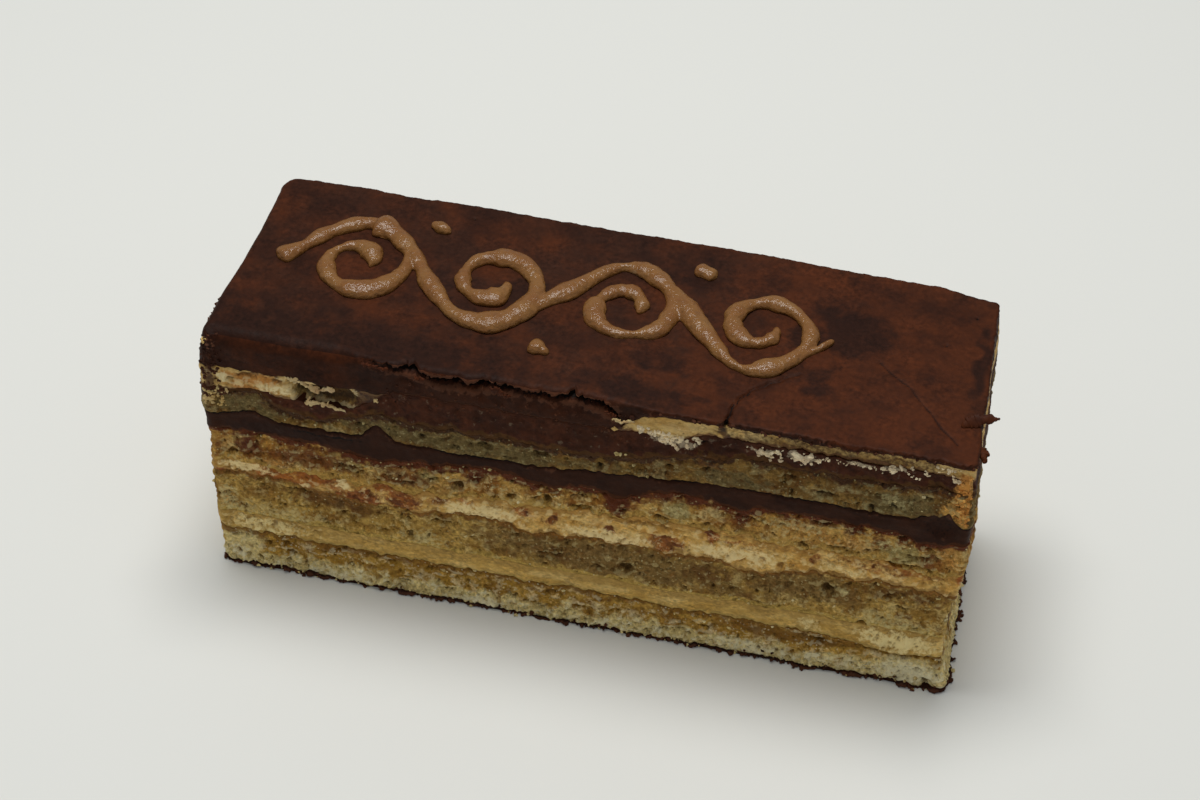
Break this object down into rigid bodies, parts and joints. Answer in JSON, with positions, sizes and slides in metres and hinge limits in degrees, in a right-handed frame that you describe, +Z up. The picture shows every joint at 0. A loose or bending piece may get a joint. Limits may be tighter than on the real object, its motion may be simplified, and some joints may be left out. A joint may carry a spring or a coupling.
{
  "type": "opera cake slice",
  "caption": "Rectangular slice of layered almond sponge, coffee cream and ganache under a poured chocolate glaze with a piped scroll.",
  "frame": {"origin": "middle of the underside, the bottom centre of the bounding box", "axes": "+X along the slice's length, -Y out of the clean cut front face, +Z up through the layers to the glaze"},
  "size_m": [0.1075, 0.0352, 0.0469],
  "materials": {
    "base_chocolate": "thin coat of dark chocolate, satin",
    "bottom_sponge": "open crumb, syrup-soaked towards the top",
    "lower_cream": "smooth buttercream, satin",
    "lower_sponge": "open crumb, syrup-soaked",
    "middle_cream": "torn buttercream with syrup stains",
    "upper_sponge": "open crumb, syrup-soaked",
    "ganache": "set ganache, satin",
    "top_sponge": "open crumb, soaked",
    "chocolate_film": "knife-smeared ganache",
    "top_cream": "torn buttercream",
    "glaze": "poured chocolate glaze, satin",
    "piping": "piped milk chocolate, glossy"
  },
  "bodies": {
    "root": {"base_coat": "base_chocolate", "bottom_sponge": "bottom_sponge", "lower_cream": "lower_cream", "lower_sponge": "lower_sponge", "middle_cream": "middle_cream", "upper_sponge": "upper_sponge", "ganache": "ganache", "top_sponge": "top_sponge", "chocolate_film": "chocolate_film", "top_cream": "top_cream", "glaze": "glaze"}
  },
  "joints": []
}
